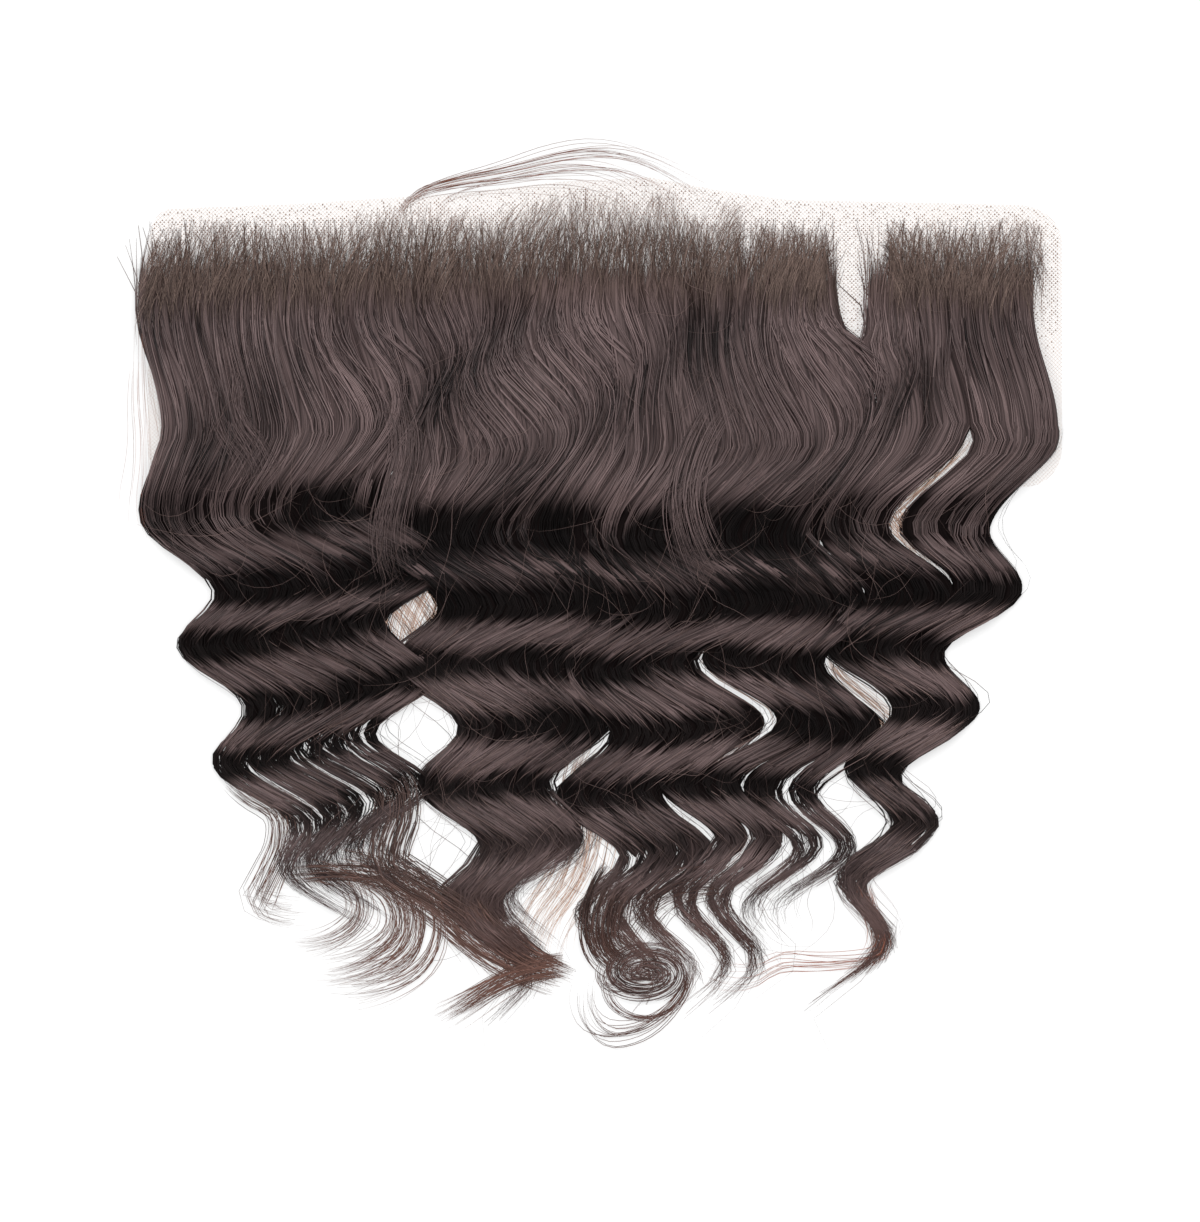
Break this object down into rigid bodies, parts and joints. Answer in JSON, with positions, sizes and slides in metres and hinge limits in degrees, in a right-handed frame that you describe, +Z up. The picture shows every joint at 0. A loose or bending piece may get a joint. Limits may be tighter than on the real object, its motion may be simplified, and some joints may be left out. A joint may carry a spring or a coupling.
{
  "type": "lace frontal hairpiece",
  "caption": "Ear-to-ear lace frontal lying flat: a thin net base with long dark wavy hair knotted into it, combed back over the rear edge in sections of locks.",
  "frame": {"origin": "middle of the net's straight width and depth, on its underside", "axes": "+X from one ear to the other, -Y the way the hair falls, +Z up out of the net's face"},
  "size_m": [0.333, 0.3022, 0.0154],
  "materials": {
    "lace": "sheer off-white net of fine threads",
    "hair": "dark brown wavy human hair with a soft sheen"
  },
  "bodies": {
    "root": {"lace_base": "lace", "hair_left": "hair", "hair_centre": "hair", "hair_right": "hair", "hair_far_right": "hair"}
  },
  "joints": []
}
